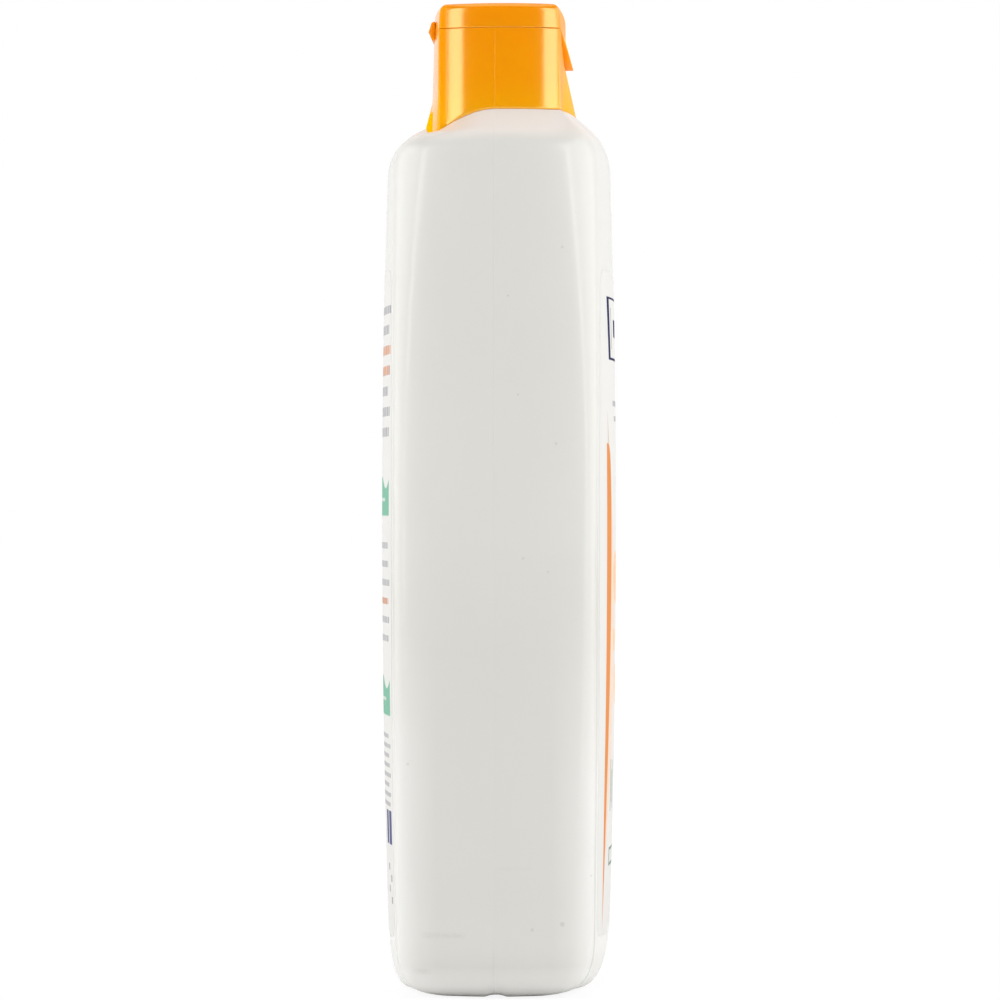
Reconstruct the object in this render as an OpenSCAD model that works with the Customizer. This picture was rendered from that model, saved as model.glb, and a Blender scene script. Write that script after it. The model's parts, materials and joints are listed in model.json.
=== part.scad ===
// Flip-top shower gel bottle: a flattened, slightly barrel-shaped bottle, a press-on cap with a
// hinged lid and thumb tab, a label film on each broad face, and the gel inside.
// Millimetres. +Z is up, +X runs along the width, the front face looks along -Y.

/* [Body] */
// Width of the body at its widest height
body_w = 75; // [70:1:82]
// Depth from the parting plane to the front face at the widest height
front_d = 27.95; // [26:0.05:31]
// Depth from the parting plane to the back face at the widest height
back_d = 28.2; // [26:0.05:31]
// Height at which the barrel is widest
bulge_z = 112; // [95:1:125]
// How far each wall draws in 90 mm above or below the widest height
draw_in = 1.35; // [0.6:0.05:2.2]
// Height of the edge where the walls turn into the shoulder
wall_top = 202.6; // [185:0.5:220]
// Rise of the shoulder from that edge to the cap seam
shoulder_rise = 7; // [5:0.5:9]
// Wall thickness
wall = 0.9; // [0.7:0.1:1.3]
// Thickness of the base
floor_t = 1.5; // [1.1:0.1:2.4]

/* [Body section] */
// Crown radius of the two narrow sides at the widest height
side_r = 85; // [70:1:100]
// Crown radius of the narrow sides just under the shoulder
side_r_top = 62; // [58:1:85]
// Crown radius of the narrow sides at the foot
side_r_low = 72; // [60:1:85]
// How far behind the parting plane the narrow sides crown
side_mid = 1.5; // [0:0.1:2.5]
// Crown radius of the front face
front_r = 135; // [110:1:170]
// Crown radius of the back face
back_r = 130; // [110:1:170]
// Corner radius just under the shoulder
corner_top = 12; // [8:0.5:14]
// Corner radius at the widest height
corner_mid = 4; // [3:0.5:7]
// Corner radius at the foot
corner_low = 9; // [5:0.5:11]
// Rounding of the shoulder edge on the narrow sides
edge_side = 3.5; // [2:0.5:5]
// Rounding of the shoulder edge at the front
edge_front = 6; // [4:0.5:8]
// Rounding of the shoulder edge at the back
edge_back = 8.5; // [5:0.5:9]

/* [Label panels] */
// How far the front panel stands proud at the foot
front_pad = 0.45; // [0.2:0.05:0.8]
// Height at which the front panel has faded into the wall
front_pad_top = 150; // [120:5:180]
// How far the back panel stands proud
back_pad = 0.25; // [0.1:0.05:0.6]
// Height at which the back panel has faded into the wall
back_pad_top = 196; // [170:1:200]
// Height over which a panel edge fades out
pad_fade = 60; // [20:5:80]
// Width of the sloped panel edge
pad_edge = 0.35; // [0.2:0.05:0.8]

/* [Foot] */
// Height of the rounded heel
heel_h = 14; // [10:0.5:18]
// How far the heel draws in on the narrow sides
heel_side = 12; // [6:0.5:14]
// How far the heel draws in at the front
heel_front = 6.4; // [3:0.1:8]
// How far the heel draws in at the back
heel_back = 3.7; // [2:0.1:8]
// How much further the heel draws in at its corners than at the middle of the broad faces
heel_corner = 9; // [0:0.5:10]
// Height of the push-up in the base
push_up = 4; // [2:0.5:7]
// Width of the flat foot as a share of the base
foot_share = 0.1; // [0.06:0.01:0.16]
// Depth of the pinch-off groove across the base
groove_d = 0.6; // [0.3:0.1:1]
// Width of that groove
groove_w = 5; // [4:0.5:7]

/* [Neck] */
// Outer radius of the neck
neck_r = 11.5; // [10.5:0.1:12]
// Wall thickness of the neck
neck_wall = 1.3; // [1:0.1:1.8]
// Height of the neck root above the cap seam
neck_root = 2; // [1:0.5:3]
// How far the snap bead stands out of the neck
bead = 0.6; // [0.3:0.1:0.8]
// Height of the snap bead above the cap seam
bead_z = 9.5; // [7:0.5:12]

/* [Labels] */
// How far the films end short of the sloped panel edges
label_margin = 1.2; // [0.8:0.1:6]
// Height of the lower edge of both films
label_z = 14; // [14:1:30]
// Height of the films from edge to edge
label_h = 158; // [120:1:160]
// Corner radius of the films
label_r = 4; // [2:0.5:8]
// Thickness of the films
label_t = 0.12; // [0.08:0.01:0.2]
// Adhesive layer under the films
label_gap = 0.06; // [0.04:0.01:0.1]

/* [Gel] */
// Height to which the bottle is filled
fill_z = 192; // [150:1:193]
// Gap kept between gel and wall
gel_gap = 0.3; // [0.2:0.05:0.5]

/* [Cap] */
// Width of the cap at the seam
cap_w = 58; // [54:0.5:62]
// Depth of the lid from the parting plane to the front
cap_front = 15.8; // [15.2:0.1:17]
// Depth of the lid from the parting plane to the back
cap_back = 15.5; // [15:0.1:17]
// Depth of the front corners
corner_front = 15.2; // [13.5:0.1:15.2]
// Depth of the back corners
corner_back = 13.3; // [12.5:0.1:14.5]
// Crown radius of the cap's narrow sides
cap_side_r = 34.6; // [30:0.5:45]
// Radius of the cap's upright corners
cap_corner_r = 0.9; // [0.7:0.1:2]
// Draft of the narrow sides over the whole cap
cap_draft = 0.6; // [0:0.1:1.2]
// Height of the cap base from seam to deck
base_h = 19.3; // [18:0.1:24]
// Wall thickness of the cap
cap_wall = 1.3; // [1:0.1:1.6]
// Thickness of the deck
deck_t = 1.5; // [1.2:0.1:2]
// Height above the seam where the front flare starts
front_flare_h = 12.4; // [8:0.2:14]
// Outward slope of the front flare
front_flare = 0.222; // [0.1:0.002:0.26]
// Height above the seam where the back flare starts
back_flare_h = 3.7; // [2:0.1:6]
// Outward slope of the back flare
back_flare = 0.25; // [0.1:0.01:0.35]
// Slope of the seam as it dips towards the back corners
seam_dip = 0.8; // [0.5:0.05:0.9]
// Share of that dip at the middle of the back
seam_dip_mid = 0.3; // [0.2:0.05:0.6]
// Gap between the cap's lower edge and the shoulder
seam_gap = 0.3; // [0.2:0.05:0.5]
// Radial clearance between neck and cap socket
socket_gap = 0.2; // [0.15:0.05:0.35]
// Wall thickness of the socket
socket_wall = 1.1; // [0.9:0.1:1.3]

/* [Spout] */
// Distance of the spout in front of the parting plane
spout_y = 3; // [1:0.5:5]
// Radius of the dispensing hole
spout_bore_r = 2.5; // [1.8:0.1:2.8]
// Height of the spout above the deck
spout_h = 2.9; // [2:0.1:3.1]
// Outer radius of the spout at the deck
spout_r = 4.3; // [3.8:0.1:4.5]

/* [Lid] */
// Height of the lid above the deck
lid_h = 6.1; // [6:0.1:8]
// Wall thickness of the lid
lid_wall = 1.2; // [1:0.1:1.5]
// Gap between lid and deck
lid_gap = 0.2; // [0.15:0.05:0.3]
// Radius of the lid's top edge
lid_edge_r = 1.7; // [1:0.1:2]
// Crown of the lid's top
lid_dome = 0.2; // [0.2:0.1:1]
// Width of the thumb tab where it leaves the lid
tab_w = 48; // [42:1:49]
// How far the thumb tab hangs below the deck
tab_drop = 7.2; // [4:0.1:9]
// Outward slope of the thumb tab
tab_slope = 0.27; // [0.1:0.01:0.35]
// Depth of the recess behind the thumb tab
tab_recess = 0.6; // [0.5:0.05:0.8]
// Clearance between the thumb tab and that recess
tab_gap = 0.2; // [0.15:0.05:0.25]
// Radial clearance of the sealing plug in the dispensing hole
plug_gap = 0.3; // [0.2:0.05:0.4]
// How far the sealing plug reaches into the dispensing hole
plug_depth = 1.2; // [0.6:0.1:1.4]

/* [Lid hinge] */
// Width of the hinge strap
hinge_w = 28; // [16:1:32]
// How far the hinge line stands behind the cap
hinge_out = 1.2; // [1:0.1:1.6]
// Height of the hinge line above the deck
hinge_z = 0.5; // [0.3:0.1:1]
// Height of each leaf of the strap
leaf_h = 2.8; // [2:0.1:3.2]
// Thickness of each leaf
leaf_t = 0.8; // [0.6:0.1:1]
// Radius of the bead along the hinge line
hinge_r = 0.4; // [0.3:0.05:0.5]
// Clearance of the upper leaf around that bead
hinge_gap = 0.12; // [0.1:0.01:0.2]

/* [Hidden] */
$fn = 48;

// Heights that follow from the sizes above
seam_z = wall_top + shoulder_rise;
deck_z = seam_z + base_h;
lid_top = deck_z + lid_h;
rim_z = deck_z - deck_t - seam_gap;
neck_bore_r = neck_r - neck_wall;
hinge_y = cap_back + hinge_out;
hinge_line = deck_z + hinge_z;
bulge_span = 90;
// Half width over which the heel corners blend into the broad faces
corner_span = 0.4 * body_w;

// The seam dips smoothly behind the parting plane: softness, and the width of its middle
dip_soft = 12;
dip_mid_w = 20;
// Draft of the cap's front and back for each millimetre below the lid's top
face_draft = 0.03;
// Half width at which the cap's corners lie, for the crown of its front and back
corner_x = 0.9 * cap_w / 2;
// Radial steps: side, corner and face of each quarter of an outline
NS = 8;
NC = 5;
NF = 9;
NQ = NS + NC + 1 + NF;

// Columns of an outline as [step in the quarter, sign of x, sign of y], counter-clockwise
COLUMNS = concat(
    [for (k = [0:NQ]) [k, 1, 1]],
    [for (k = [NQ - 1:-1:0]) [k, -1, 1]],
    [for (k = [1:NQ]) [k, -1, -1]],
    [for (k = [NQ - 1:-1:1]) [k, 1, -1]]
);
COARSE_COLUMNS = [for (i = [0:2:len(COLUMNS) - 1]) COLUMNS[i]];

function sq(v) = v * v;
function clamp01(v) = max(0, min(1, v));
function ease(v) = let (t = clamp01(v)) t * t * (3 - 2 * t);
function mix(a, b, t) = a + (b - a) * t;
function dir(a) = [cos(a), sin(a)];
function arc_r(half_chord, rise) = (sq(half_chord) + sq(rise)) / (2 * rise);

// A point of one quarter outline: a crowned side, a round corner and a crowned face that meet
// in tangents. The face may stand proud by raise, with a short sloped edge.
function quarter(k, a, b, s_r, f_r, c_r, side_y, raise) =
    let (
        c1 = [a - s_r, side_y],
        c2 = [0, b - f_r],
        d = norm(c2 - c1),
        u = (c2 - c1) / d,
        along = (sq(s_r - c_r) - sq(f_r - c_r) + d * d) / (2 * d),
        across = sqrt(sq(s_r - c_r) - along * along),
        p = c1 + along * u + across * [-u[1], u[0]],
        a0 = asin(-side_y / s_r),
        a1 = atan2(p[1] - c1[1], p[0] - c1[0]),
        a2 = atan2(p[1] - c2[1], p[0] - c2[0]),
        edge = pad_edge / f_r * 180 / PI
    )
    k <= NS ? c1 + s_r * dir(mix(a0, a1, k / NS))
    : k <= NS + NC ? p + c_r * dir(mix(a1, a2, (k - NS) / NC))
    : c2 + f_r * dir(mix(a2 + edge, 90, (k - NS - NC - 1) / NF)) + [0, raise];

// Body walls: barrel shape, corner radius and proud panels at a height
function bulge(z) = draw_in * sq((z - bulge_z) / bulge_span);
function by_height(z, mid, top, low) = z > bulge_z
    ? mix(mid, top, sq((z - bulge_z) / (wall_top - bulge_z)))
    : mix(mid, low, sq((bulge_z - z) / bulge_z));
function body_corner(z) = by_height(z, corner_mid, corner_top, corner_low);
function side_crown(z) = by_height(z, side_r, side_r_top, side_r_low);
function pad(z, face) = ease(z / 3) * (face > 0
    ? back_pad * ease((back_pad_top - z) / pad_fade)
    : front_pad * ease((front_pad_top - z) / pad_fade));
function face_d(z, face) = (face > 0 ? back_d : front_d) - bulge(z) - pad(z, face);
function face_r(face) = face > 0 ? back_r : front_r;

function body_pt(c, z, inset) =
    let (q = quarter(c[0], body_w / 2 - bulge(z) - inset, face_d(z, c[2]) - inset,
        side_crown(z) - inset, face_r(c[2]) - inset, body_corner(z) - inset, c[2] * side_mid,
        inset == 0 ? pad(z, c[2]) : 0))
    [c[1] * q[0], c[2] * q[1], z];

// Heel and base: phi runs from 0 on the floor to 90 at the top of the heel
function groove(y) = groove_d * max(0, 1 - sq(2 * y / groove_w));
function heel_pt(c, phi, inset, lift) =
    let (
        z = lift + (heel_h - lift) * (1 - cos(phi)),
        k = 1 - sin(phi),
        p = body_pt(c, z, inset),
        x = p[0] * (1 - k * heel_side / (body_w / 2)),
        face = c[2] > 0 ? heel_back / back_d : heel_front / front_d,
        y = p[1] * (1 - k * face - sq(k) * heel_corner / back_d * ease(abs(p[0]) / corner_span))
    )
    [x, y, z + k * groove(y)];
function base_pt(c, share, rise, inset, lift) =
    let (p = heel_pt(c, 0, inset, lift), y = p[1] * share)
    [p[0] * share, y, lift + rise + groove(y)];

// Cap walls, which flare at the foot of the front and of the back
function cap_face(z, face) = face > 0
    ? cap_back + face_draft * (lid_top - z) + back_flare * max(0, seam_z + back_flare_h - z)
    : cap_front + front_flare * max(0, seam_z + front_flare_h - z);
function cap_pt(c, z, inset) =
    let (
        b = cap_face(z, c[2]),
        rise = b - (c[2] > 0 ? corner_back : corner_front),
        side_y = c[2] * (corner_back - corner_front) / 2,
        q = quarter(c[0], cap_w / 2 - cap_draft * (z - seam_z) / (lid_top - seam_z) - inset,
            b - inset, cap_side_r - inset, arc_r(corner_x, rise) - inset,
            max(cap_corner_r - inset, 0.3), side_y, 0)
    )
    [c[1] * q[0], c[2] * q[1], z];

// The seam between cap and shoulder
function dip(x, y) = y <= 0 ? 0 : seam_dip * (norm([dip_soft, y]) - dip_soft)
    * mix(seam_dip_mid, 1, min(1, sq(x / dip_mid_w)));
function seam_height(c) = let (p = cap_pt(c, seam_z, 0)) seam_z - dip(p[0], p[1]);
function seam_pt(c, inset, rise) =
    let (z = seam_height(c), p = cap_pt(c, z, inset)) [p[0], p[1], z + rise];

// The shoulder: a rounded edge from the wall, then a slope up to the seam
function edge_r(c) =
    let (p = body_pt(c, wall_top, 0), q = sq(p[1] / face_d(wall_top, c[2])))
    mix(edge_side, c[2] > 0 ? edge_back : edge_front, q * q);
function edge_pt(c, t, inset, drop) =
    let (
        w = body_pt(c, wall_top - edge_r(c), inset),
        a = body_pt(c, wall_top - drop, inset),
        b = seam_pt(c, inset, -drop),
        s = mix(a, b, min(0.9, edge_r(c) / norm(b - a)))
    )
    sq(1 - t) * w + 2 * t * (1 - t) * a + sq(t) * s;
function slope_pt(c, t, inset, drop) =
    mix(edge_pt(c, 1, inset, drop), seam_pt(c, inset, -drop), t);

// The neck is round: each column keeps its direction
function neck_pt(c, r, z) =
    let (p = cap_pt(c, seam_z, 0), n = norm([p[0], p[1]])) [r * p[0] / n, r * p[1] / n, z];

// A closed skin through a list of rings, with a point at each end
module skin(first, rings, last) {
    n = len(rings[0]);
    m = len(rings);
    points = concat([first], [for (ring = rings) each ring], [last]);
    start = [for (i = [0:n - 1]) [0, 1 + i, 1 + (i + 1) % n]];
    sides = [for (j = [0:m - 2], i = [0:n - 1])
        let (a = 1 + j * n + i, b = 1 + j * n + (i + 1) % n)
        each [[a, a + n, b + n], [a, b + n, b]]];
    end = [for (i = [0:n - 1]) [1 + (m - 1) * n + i, m * n + 1, 1 + (m - 1) * n + (i + 1) % n]];
    polyhedron(points, concat(start, sides, end), convexity = 6);
}

HEEL_STEPS = [0, 15, 30, 45, 60, 75, 90];
WALL_STEPS = [0.06, 0.15, 0.25, 0.36, 0.48, 0.6, 0.7, 0.8, 0.88, 0.94, 0.98, 1];
function wall_z(t) = mix(heel_h, wall_top - max(edge_side, edge_front, edge_back), t);

module bottle() {
    outer = concat(
        [for (s = [[0.35, 0.95], [0.65, 0.6], [1 - foot_share, 0]])
            [for (c = COLUMNS) base_pt(c, s[0], s[1] * push_up, 0, 0)]],
        [for (phi = HEEL_STEPS) [for (c = COLUMNS) heel_pt(c, phi, 0, 0)]],
        [for (t = WALL_STEPS) [for (c = COLUMNS) body_pt(c, wall_z(t), 0)]],
        [for (t = [0.15, 0.35, 0.55, 0.75, 1]) [for (c = COLUMNS) edge_pt(c, t, 0, 0)]],
        [for (t = [0.5, 1]) [for (c = COLUMNS) slope_pt(c, t, 0, 0)]]
    );
    // A ledge under the cap's edge, the rise to the neck, and the neck with its snap bead
    neck = concat(
        [[for (c = COLUMNS) seam_pt(c, cap_wall + 0.6, 0)]],
        [[for (c = COLUMNS) seam_pt(c, cap_wall + 1.2, 1.2)]],
        [for (s = [
            [neck_r + 1.5, seam_z + neck_root],
            [neck_r, seam_z + neck_root + 1.5],
            [neck_r, seam_z + bead_z - 1],
            [neck_r + bead, seam_z + bead_z - 0.3],
            [neck_r + bead, seam_z + bead_z + 0.3],
            [neck_r, seam_z + bead_z + 1.2],
            [neck_r, rim_z - 0.4],
            [neck_r - 0.4, rim_z],
            [neck_bore_r + 0.2, rim_z],
            [neck_bore_r, rim_z - 0.2],
            [neck_bore_r, seam_z + neck_root - 0.6]
        ]) [for (c = COLUMNS) neck_pt(c, s[0], s[1])]]
    );
    inner = concat(
        [[for (c = COLUMNS) seam_pt(c, cap_wall + 2.3, -wall)]],
        [for (t = [1, 0.5, 0.15]) [for (c = COLUMNS) edge_pt(c, t, wall, wall)]],
        [for (t = [1, 0.8, 0.6, 0.36, 0.15]) [for (c = COLUMNS) body_pt(c, wall_z(t), wall)]],
        [for (phi = [90, 60, 30, 0]) [for (c = COLUMNS) heel_pt(c, phi, wall, floor_t)]],
        [for (s = [[1 - foot_share, 0], [0.65, 0.6], [0.35, 0.95]])
            [for (c = COLUMNS) base_pt(c, s[0], s[1] * push_up, wall, floor_t)]]
    );
    color("whitesmoke")
        skin([0, 0, push_up + groove_d], concat(outer, neck, inner),
            [0, 0, floor_t + push_up + groove_d]);
}

module gel() {
    inset = wall + gel_gap;
    lift = floor_t + gel_gap;
    rings = concat(
        [for (s = [[0.35, 0.95], [0.65, 0.6], [1 - foot_share, 0]])
            [for (c = COARSE_COLUMNS) base_pt(c, s[0], s[1] * push_up, inset, lift)]],
        [for (phi = [0, 30, 60, 90]) [for (c = COARSE_COLUMNS) heel_pt(c, phi, inset, lift)]],
        [for (t = [0.15, 0.36, 0.6, 0.8, 1])
            [for (c = COARSE_COLUMNS) body_pt(c, mix(heel_h, fill_z, t), inset)]]
    );
    color("orange") skin([0, 0, lift + push_up + groove_d], rings, [0, 0, fill_z]);
}

// A film that follows one broad face: rows of points across the face, closed all round
module label(face) {
    nx = 14;
    nz = 22;
    function panel_w(z) = quarter(NS + NC + 1, body_w / 2 - bulge(z), face_d(z, face),
        side_crown(z), face_r(face), body_corner(z), face * side_mid, 0)[0];
    function half_w(z) =
        let (e = max(0, label_r - min(z - label_z, label_z + label_h - z)))
        panel_w(z) - label_margin - label_r + sqrt(sq(label_r) - sq(e));
    function face_y(x, z) = face_d(z, face) + pad(z, face)
        - face_r(face) + sqrt(sq(face_r(face)) - sq(x));
    function row_z(j) =
        let (step = [0, 0.1, 0.3, 0.6, 1])
        j < 5 ? label_z + label_r * step[j]
        : j > nz - 5 ? label_z + label_h - label_r * step[nz - j]
        : mix(label_z + label_r, label_z + label_h - label_r, (j - 4) / (nz - 8));
    function sheet(lift) = [for (j = [0:nz], i = [0:nx])
        let (z = row_z(j), x = half_w(z) * (2 * i / nx - 1))
        [x, face * (face_y(x, z) + lift), z]];
    w = nx + 1;
    n = w * (nz + 1);
    points = concat(sheet(label_gap), sheet(label_gap + label_t));
    rim = concat([for (i = [0:nx - 1]) i], [for (j = [0:nz - 1]) j * w + nx],
        [for (i = [nx:-1:1]) nz * w + i], [for (j = [nz:-1:1]) j * w]);
    cells = [for (j = [0:nz - 1], i = [0:nx - 1]) j * w + i];
    faces = concat(
        [for (a = cells) each [[a, a + 1, a + w + 1], [a, a + w + 1, a + w]]],
        [for (a = cells) each [[n + a, n + a + w + 1, n + a + 1], [n + a, n + a + w, n + a + w + 1]]],
        [for (k = [0:len(rim) - 1])
            let (a = rim[k], b = rim[(k + 1) % len(rim)]) each [[a, n + a, n + b], [a, n + b, b]]]
    );
    polyhedron(points, face > 0 ? faces : [for (f = faces) [f[0], f[2], f[1]]], convexity = 4);
}

module front_label() { color("moccasin") label(-1); }
module back_label() { color("gainsboro") label(1); }

// Lower edge of the lid: level with the deck, and hanging down at the front as the thumb tab
function tab_reach(x) = tab_drop * max(0, 1 - sq(2 * x / tab_w));
function on_tab(c) = let (p = cap_pt(c, deck_z, 0))
    c[2] < 0 && c[0] > NS + NC + 2 ? tab_reach(p[0]) : 0;

module cap_base() {
    gap_below_tab = 0.3;
    skirt_top = deck_z - 0.6;
    function skirt_pt(c, t) =
        let (low = seam_pt(c, 0, seam_gap), z = mix(low[2], min(skirt_top, tab_foot(c)), t))
        cap_pt(c, z, 0);
    function tab_foot(c) = deck_z - (on_tab(c) > 0 ? on_tab(c) + gap_below_tab : 0);
    function recess(c) = c[2] < 0 && c[0] > NS + NC + 1 ? tab_recess : 0;
    function top_pt(c, z, inset) =
        let (p = cap_pt(c, z, inset)) [p[0], p[1] + recess(c), z];
    rings = concat(
        [for (z = [deck_z - deck_t]) [for (c = COLUMNS) cap_pt(c, z, cap_wall + 1)]],
        [for (t = [0.85, 0.5, 0.2, 0]) [for (c = COLUMNS)
            let (low = seam_pt(c, cap_wall, seam_gap))
            cap_pt(c, mix(low[2], deck_z - deck_t - 1, t), cap_wall)]],
        [for (t = [0, 0.12, 0.28, 0.45, 0.65, 0.85, 1]) [for (c = COLUMNS) skirt_pt(c, t)]],
        [[for (c = COLUMNS) top_pt(c, min(skirt_top, tab_foot(c)) + 0.05, 0)]],
        [[for (c = COLUMNS) top_pt(c, deck_z - 0.15, 0)]],
        [[for (c = COLUMNS) top_pt(c, deck_z, 0.15)]]
    );
    color("orange")
    difference() {
        union() {
            skin([0, 0, deck_z - deck_t], rings, [0, 0, deck_z]);
            translate([0, -spout_y, 0]) spout();
            socket();
            lower_leaf();
        }
        translate([0, -spout_y, deck_z - deck_t - 1])
            cylinder(h = deck_t + spout_h + 2, r = spout_bore_r);
    }
}

module spout() {
    rotate_extrude() polygon([
        [0, deck_z - deck_t / 2], [spout_r + 0.6, deck_z - deck_t / 2],
        [spout_r + 0.6, deck_z], [spout_r, deck_z + 0.5],
        [spout_r - 0.7, deck_z + spout_h - 0.3], [spout_r - 1, deck_z + spout_h],
        [0, deck_z + spout_h]
    ]);
}

// The socket snaps over the neck bead, and a short tube seals inside the neck
module socket() {
    r = neck_r + socket_gap;
    low = seam_z + neck_root + 2.5;
    snap = seam_z + bead_z;
    seal_r = neck_bore_r - socket_gap;
    rotate_extrude() polygon([
        [r + bead, low], [r + bead + socket_wall, low],
        [r + bead + socket_wall, deck_z - deck_t / 2], [r, deck_z - deck_t / 2],
        [r, snap + 1.4], [r + bead, snap + 0.5],
        [r + bead, snap - 0.5], [r + bead / 2, snap - 1.4]
    ]);
    rotate_extrude() polygon([
        [seal_r - 1, rim_z - 3], [seal_r - 0.3, rim_z - 3], [seal_r, rim_z - 2.4],
        [seal_r, deck_z - deck_t / 2], [seal_r - 1, deck_z - deck_t / 2]
    ]);
}

// Hinge strap: two leaves that slope out from the walls to the hinge line
module leaf(up) {
    root_y = cap_back - cap_wall;
    translate([-hinge_w / 2, 0, 0]) rotate([90, 0, 90])
        linear_extrude(hinge_w) polygon([
            [root_y, hinge_line + up * leaf_h], [root_y, hinge_line + up * (leaf_h - leaf_t)],
            [cap_back + 0.1, hinge_line + up * (leaf_h - leaf_t)],
            [hinge_y - 0.1, hinge_line], [hinge_y + 0.25, hinge_line],
            [cap_back + 0.3, hinge_line + up * leaf_h]
        ]);
}

module lower_leaf() {
    leaf(-1);
    translate([-hinge_w / 2, hinge_y, hinge_line]) rotate([0, 90, 0])
        cylinder(h = hinge_w, r = hinge_r);
}

module upper_leaf() {
    difference() {
        leaf(1);
        translate([-hinge_w / 2 - 1, hinge_y, hinge_line]) rotate([0, 90, 0])
            cylinder(h = hinge_w + 2, r = hinge_r + hinge_gap);
    }
}

module flip_lid() {
    low = deck_z + lid_gap;
    step = 0.15;
    ceiling = lid_top - lid_dome - lid_wall;
    lip = tab_recess - tab_gap;
    function edge_z(c) = low - (on_tab(c) > 0 ? on_tab(c) + lid_gap : 0);
    function outer_pt(c, z) =
        let (p = cap_pt(c, z, 0)) [p[0], p[1] - tab_slope * (on_tab(c) > 0 ? max(0, deck_z - z) : 0), z];
    function lip_pt(c, z) =
        let (p = cap_pt(c, z, on_tab(c) > 0 ? 0 : lip)) [p[0], p[1] + (on_tab(c) > 0 ? lip : 0), z];
    rings = concat(
        [[for (c = COLUMNS) cap_pt(c, ceiling, lid_wall + 0.5)]],
        [[for (c = COLUMNS) cap_pt(c, ceiling - 0.5, lid_wall)]],
        [[for (c = COLUMNS) cap_pt(c, low + step, lid_wall)]],
        [[for (c = COLUMNS) lip_pt(c, low + step)]],
        [[for (c = COLUMNS) lip_pt(c, edge_z(c))]],
        [[for (c = COLUMNS) outer_pt(c, edge_z(c))]],
        [[for (c = COLUMNS) outer_pt(c, mix(edge_z(c), low + 0.6, 0.5))]],
        [[for (c = COLUMNS) outer_pt(c, low + 0.6)]],
        [for (phi = [0, 30, 60, 90]) [for (c = COLUMNS)
            cap_pt(c, lid_top - lid_dome - lid_edge_r * (1 - sin(phi)), lid_edge_r * (1 - cos(phi)))]],
        [for (s = [[0.6, 0.64]]) [for (c = COLUMNS)
            let (p = cap_pt(c, lid_top, lid_edge_r))
            [p[0] * s[0], p[1] * s[0], lid_top - lid_dome * (1 - s[1])]]]
    );
    plug_r = spout_bore_r - plug_gap;
    ring_r = spout_r + 0.5;
    color("orange") union() {
        skin([0, 0, ceiling], rings, [0, 0, lid_top]);
        translate([0, -spout_y, 0]) rotate_extrude() polygon([
            [0, deck_z + spout_h - plug_depth], [plug_r - 0.4, deck_z + spout_h - plug_depth],
            [plug_r, deck_z + spout_h - plug_depth + 0.5], [plug_r, ceiling + 0.4],
            [0, ceiling + 0.4]
        ]);
        translate([0, -spout_y, 0]) rotate_extrude() polygon([
            [ring_r, deck_z + spout_h - 0.6], [ring_r + 0.8, deck_z + spout_h - 0.6],
            [ring_r + 0.8, ceiling + 0.4], [ring_r, ceiling + 0.4]
        ]);
        upper_leaf();
    }
}

bottle();
gel();
front_label();
back_label();
cap_base();
flip_lid();
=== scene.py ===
import json
from math import cos, pi, radians, sin

import bpy
import numpy as np
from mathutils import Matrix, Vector

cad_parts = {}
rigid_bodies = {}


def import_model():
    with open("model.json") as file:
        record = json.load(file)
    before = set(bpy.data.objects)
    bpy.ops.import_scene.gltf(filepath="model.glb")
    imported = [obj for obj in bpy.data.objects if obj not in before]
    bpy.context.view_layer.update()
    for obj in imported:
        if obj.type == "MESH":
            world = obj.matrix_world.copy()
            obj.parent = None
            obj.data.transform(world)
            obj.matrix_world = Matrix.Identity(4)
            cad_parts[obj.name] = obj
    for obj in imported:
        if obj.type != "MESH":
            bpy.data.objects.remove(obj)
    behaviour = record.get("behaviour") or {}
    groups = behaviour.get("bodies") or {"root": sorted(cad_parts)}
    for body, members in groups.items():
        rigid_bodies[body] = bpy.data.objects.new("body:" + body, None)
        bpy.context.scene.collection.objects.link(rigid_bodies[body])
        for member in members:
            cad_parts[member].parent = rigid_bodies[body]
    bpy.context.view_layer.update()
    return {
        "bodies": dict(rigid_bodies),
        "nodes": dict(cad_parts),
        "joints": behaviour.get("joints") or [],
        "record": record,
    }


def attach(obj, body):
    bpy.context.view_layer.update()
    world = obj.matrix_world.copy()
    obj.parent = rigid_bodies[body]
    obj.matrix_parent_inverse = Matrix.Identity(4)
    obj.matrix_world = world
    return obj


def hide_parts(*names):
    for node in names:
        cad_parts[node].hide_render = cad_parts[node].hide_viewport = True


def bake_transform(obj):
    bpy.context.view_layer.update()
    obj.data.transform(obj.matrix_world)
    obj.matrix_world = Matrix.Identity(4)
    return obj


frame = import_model()
scene = bpy.context.scene

# Lengths in this script are in millimetres, and MM turns them into the frame's metres.
MM = 0.001

# Camera
CAM_DISTANCE = 1000.0
CAM_HEIGHT = 117.5
CAM_TURN = radians(2.2)
FOCAL_RATIO = 4.124
SENSOR = 36.0

camera_data = bpy.data.cameras.new("camera")
camera_data.sensor_width = SENSOR
camera_data.lens = SENSOR * FOCAL_RATIO
camera_data.clip_start = 0.05
camera_data.clip_end = 50.0
camera = bpy.data.objects.new("camera", camera_data)
scene.collection.objects.link(camera)
camera.location = Vector((-cos(CAM_TURN) * CAM_DISTANCE, -sin(CAM_TURN) * CAM_DISTANCE, CAM_HEIGHT)) * MM
look = Vector((cos(CAM_TURN), sin(CAM_TURN), 0))
camera.rotation_mode = "QUATERNION"
camera.rotation_quaternion = look.to_track_quat("-Z", "Y")
scene.camera = camera

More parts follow.
